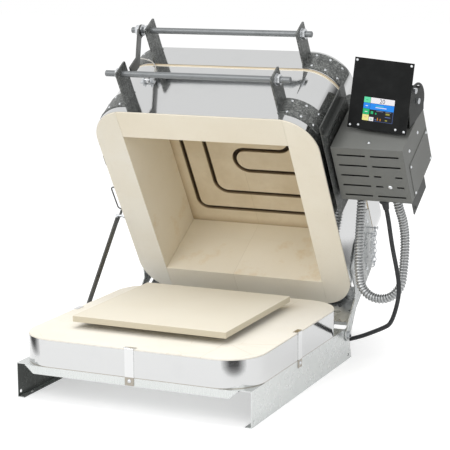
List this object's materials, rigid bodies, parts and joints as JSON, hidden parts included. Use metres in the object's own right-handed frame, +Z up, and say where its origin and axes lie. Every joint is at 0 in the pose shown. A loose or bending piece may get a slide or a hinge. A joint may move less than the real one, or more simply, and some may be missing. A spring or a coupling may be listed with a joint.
{
  "type": "electric kiln",
  "caption": "Clamshell electric kiln: brick ring and lid tipped back on a floor slab and steel stand, with side control box, tilting controller, prop strut and conduit.",
  "frame": {"origin": "on the floor, straight under the middle of the square floor slab", "axes": "+X to the right seen from the front, +Y to the back, +Z up; the shell is stored tipped open"},
  "size_m": [0.6931, 0.7627, 0.7104],
  "materials": {
    "brick": "matte, porous",
    "shelf": "matte",
    "polished_band": "polished",
    "stand_steel": "satin",
    "spangled_steel": "mottled hammer grey",
    "rod_steel": "satin",
    "zinc": "bright",
    "element": "oxidised wire",
    "box_paint": "textured powder coat",
    "black_paint": "satin black",
    "screen": "glossy",
    "board": "matte",
    "black_rubber": "satin"
  },
  "bodies": {
    "stand": {"stand_pan": "stand_steel", "floor_slab": "brick", "floor_band": "polished_band", "floor_clips": "polished_band", "clip_screws": "zinc", "kiln_posts": "shelf", "hinge_bolts": "zinc", "strut_stud": "zinc", "power_cord_lower": "black_rubber", "cord_coil": "black_rubber", "cord_plug": "black_rubber"},
    "ring": {"ring_lower_course": "brick", "ring_upper_course": "brick", "ring_band": "polished_band", "ring_corner_plates": "spangled_steel", "ring_rivets": "zinc", "ring_handle_rod": "rod_steel", "ring_rod_nuts": "zinc", "hinge_arms": "spangled_steel", "arm_screws": "zinc", "rear_cross_plate": "stand_steel", "side_bail": "rod_steel", "band_clamp": "zinc", "strut_pin": "zinc", "lid_hinge_lower": "spangled_steel", "lid_hinge_pins": "zinc", "box_chassis": "box_paint", "box_cover": "box_paint", "box_access_plate": "box_paint", "box_screws": "zinc", "box_mounts": "box_paint", "heat_shield": "spangled_steel", "box_electrics": "board", "cord_gland": "black_rubber", "conduit_fitting": "zinc", "conduit": "zinc", "safety_chain": "zinc", "controller_bracket": "box_paint", "power_cord_upper": "black_rubber"},
    "lid": {"roof_slab": "brick", "heating_element": "element", "lid_band": "polished_band", "lid_corner_plates": "spangled_steel", "lid_rivets": "zinc", "lid_handle_rod": "rod_steel", "lid_rod_nuts": "zinc", "lid_terminal_cover": "spangled_steel", "element_terminals": "zinc", "lid_hinge_upper": "spangled_steel", "lid_conduit_fitting": "zinc"},
    "keeper": {"keeper_strap": "spangled_steel"},
    "controller": {"controller_case": "black_paint", "controller_board": "board", "controller_plate": "black_paint", "controller_screen": "screen", "controller_screws": "zinc", "tilt_screws": "zinc"},
    "shelf": {"kiln_shelf": "shelf"},
    "strut": {"prop_strut": "rod_steel"}
  },
  "joints": [
    {"name": "shell_hinge", "type": "hinge", "parent": "stand", "child": "ring", "pos_m": [0, 0.26025, 0.0567], "axis": [1, 0, 0], "range_deg": [0, 58.7]},
    {"name": "lid_hinge", "type": "hinge", "parent": "ring", "child": "lid", "pos_m": [0, 0.45966, 0.18356], "axis": [-1, 0, 0], "range_deg": [0, 70]},
    {"name": "keeper_swing", "type": "hinge", "parent": "lid", "child": "keeper", "pos_m": [-0.19, 0.19281, 0.68618], "axis": [-1, 0, 0], "range_deg": [-10, 90]},
    {"name": "controller_tilt", "type": "hinge", "parent": "ring", "child": "controller", "pos_m": [0.35504, 0.20202, 0.56591], "axis": [-0.99, 0.1204, 0.0732], "range_deg": [0, 55]},
    {"name": "shelf_lift", "type": "slide", "parent": "stand", "child": "shelf", "axis": [0, 0, 1], "range_m": [0, 0.06]},
    {"name": "strut_fold", "type": "hinge", "parent": "stand", "child": "strut", "pos_m": [-0.2675, 0.015, 0.038], "axis": [1, 0, 0], "range_deg": [-44.4, 0]}
  ],
  "couplings": [
    {"joint": "strut_fold", "follows": "shell_hinge", "ratio": -0.756}
  ]
}
